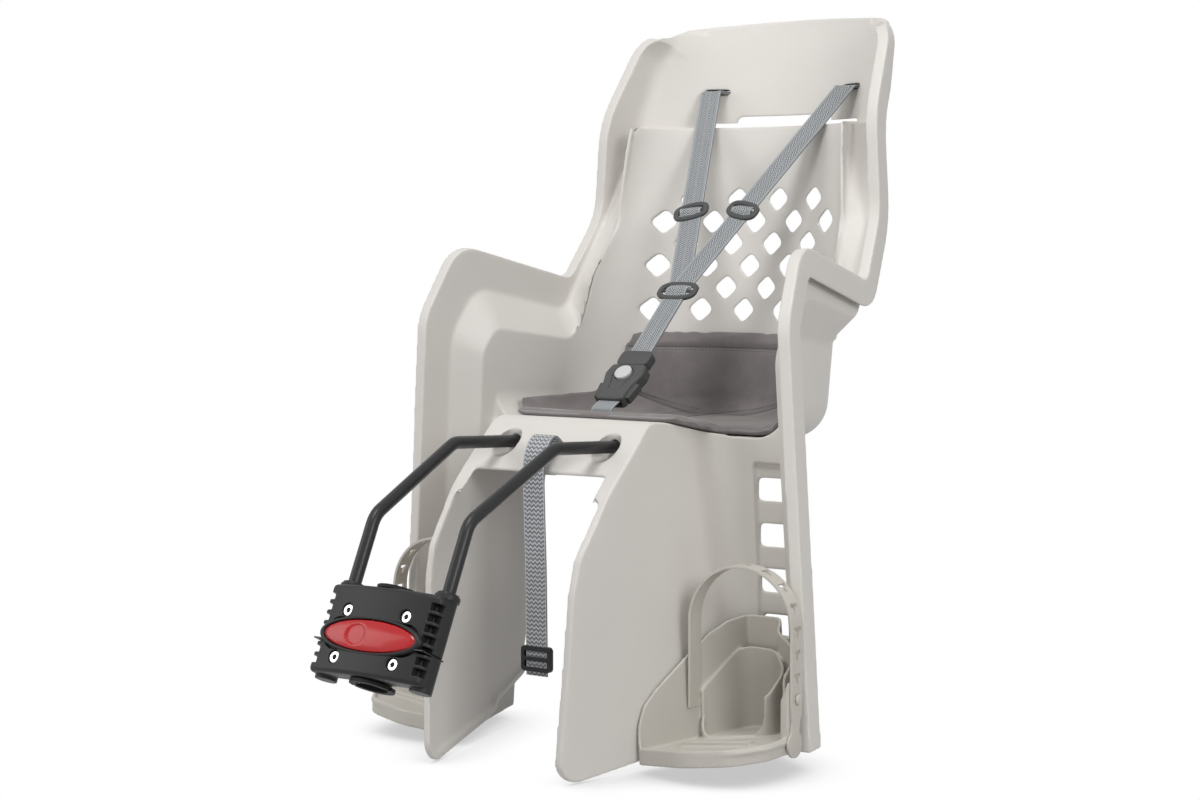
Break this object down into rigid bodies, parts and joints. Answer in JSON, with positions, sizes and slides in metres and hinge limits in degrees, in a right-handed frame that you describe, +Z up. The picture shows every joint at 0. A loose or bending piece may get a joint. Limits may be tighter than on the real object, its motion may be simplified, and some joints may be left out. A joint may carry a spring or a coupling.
{
  "type": "child bicycle seat",
  "caption": "Rear child bicycle seat: moulded bucket with arm rims, leg shields and sliding foot cups, harness, and a bent carrier bar locked into a seat-tube bracket.",
  "frame": {"origin": "middle of the seat-tube clamp, on the tube's axis", "axes": "+Z up, the child faces -Y, +X to the child's left"},
  "size_m": [0.4844, 0.754, 0.7318],
  "materials": {
    "shell": "fine grained pale grey plastic",
    "cushion": "dark grey nubuck-like cloth, quilted",
    "black_steel": "satin black powder coat",
    "black_plastic": "satin black moulded plastic",
    "red_plastic": "glossy red",
    "steel": "zinc plated",
    "webbing": "grey woven webbing",
    "strap_rubber": "soft pale grey rubber",
    "grey_plastic": "pale grey button",
    "liner_rubber": "black rubber sleeve"
  },
  "bodies": {
    "seat": {"seat_shell": "shell", "seat_pad": "cushion", "carrier_bar": "black_steel", "bracket_front": "black_plastic", "bracket_rear": "black_plastic", "bar_saddle_front": "black_plastic", "bar_saddle_rear": "black_plastic", "bar_clamp_front": "black_plastic", "bar_clamp_rear": "black_plastic", "strap_slider_left": "black_plastic", "strap_slider_right": "black_plastic", "strap_slider_lower": "black_plastic", "strap_keeper_left": "black_plastic", "strap_keeper_right": "black_plastic", "crotch_keeper": "black_plastic", "buckle_body": "black_plastic", "buckle_tongue": "black_plastic", "safety_buckle": "black_plastic", "clamp_bolts": "steel", "clamp_nuts": "steel", "bar_clamp_screws_front": "steel", "bar_clamp_screws_rear": "steel", "shoulder_strap_left": "webbing", "shoulder_strap_right": "webbing", "lower_strap": "webbing", "crotch_strap": "webbing", "safety_strap": "webbing", "tube_liner_front": "liner_rubber", "tube_liner_rear": "liner_rubber"},
    "release": {"release_button": "red_plastic", "latch_plate": "steel"},
    "harness_button": {"buckle_button": "grey_plastic"},
    "foot_rest_left": {"foot_cup_left": "shell", "foot_strap_left": "strap_rubber", "foot_peg_left": "shell"},
    "foot_rest_right": {"foot_cup_right": "shell", "foot_strap_right": "strap_rubber", "foot_peg_right": "shell"}
  },
  "joints": [
    {"name": "release_push", "type": "slide", "parent": "seat", "child": "release", "axis": [0, 0.8988, -0.4384], "range_m": [0, 0.0032], "stiffness_N_per_m": 2000, "springref_m": -0.002},
    {"name": "buckle_push", "type": "slide", "parent": "seat", "child": "harness_button", "axis": [0, 0.6428, -0.766], "range_m": [0, 0.002], "stiffness_N_per_m": 1500, "springref_m": -0.001},
    {"name": "foot_cup_left_slide", "type": "slide", "parent": "seat", "child": "foot_rest_left", "axis": [-0.0499, 0, 0.9988], "range_m": [0, 0.087]},
    {"name": "foot_cup_right_slide", "type": "slide", "parent": "seat", "child": "foot_rest_right", "axis": [0.0499, 0, 0.9988], "range_m": [0, 0.087]}
  ]
}
